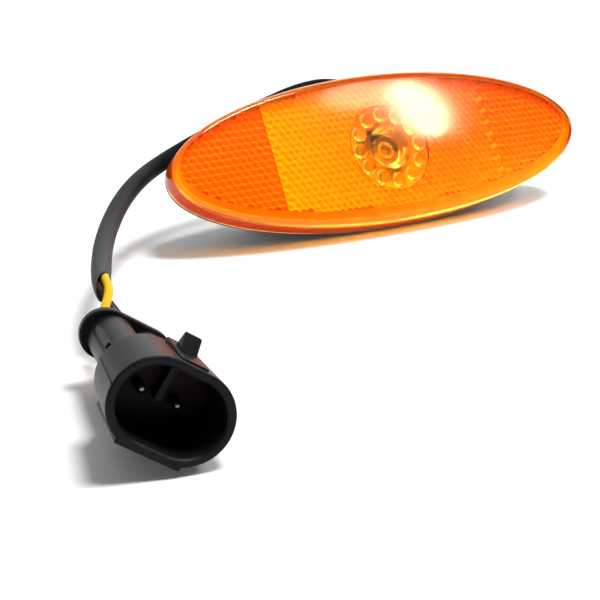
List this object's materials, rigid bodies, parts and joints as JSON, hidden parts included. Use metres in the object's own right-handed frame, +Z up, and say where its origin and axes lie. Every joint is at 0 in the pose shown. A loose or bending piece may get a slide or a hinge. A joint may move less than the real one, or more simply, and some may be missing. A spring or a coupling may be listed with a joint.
{
  "type": "side marker lamp",
  "caption": "Oval amber side marker lamp with a reflex lens, a short sleeved pigtail and a sealed two-way pin connector.",
  "frame": {"origin": "on the floor under the middle of the lamp, without its pigtail and connector", "axes": "+X along the lens to the right seen from the front, +Z up from the floor; the lamp leans back on its flange edge and body with the lens facing -Y and up"},
  "size_m": [0.162, 0.1212, 0.0345],
  "materials": {
    "amber_acrylic": "polished clear amber",
    "black_housing": "fine moulded",
    "board_laminate": "solder mask",
    "led_package": "moulded",
    "chip_black": "glazed",
    "chip_tan": "fired",
    "diode_black": "moulded",
    "grommet_rubber": "matte",
    "sleeve_pvc": "smooth satin",
    "yellow_insulation": "satin",
    "brown_insulation": "satin",
    "connector_black": "moulded satin",
    "retainer_brown": "moulded",
    "tinned_pin": "tin plated",
    "seal_rubber": "matte"
  },
  "bodies": {
    "root": {"lens": "amber_acrylic", "housing": "black_housing", "circuit_board": "board_laminate", "led_left": "led_package", "led_centre": "led_package", "led_right": "led_package", "resistor_left": "chip_black", "resistor_right": "chip_black", "capacitor": "chip_tan", "rectifier_diode": "diode_black", "surge_suppressor": "diode_black", "cable_grommet": "grommet_rubber", "cable_sleeve": "sleeve_pvc", "yellow_wire": "yellow_insulation", "brown_wire": "brown_insulation", "connector_housing": "connector_black", "pin_retainer": "retainer_brown", "pin_left": "tinned_pin", "pin_right": "tinned_pin", "wire_seal_left": "seal_rubber", "wire_seal_right": "seal_rubber"}
  },
  "joints": []
}
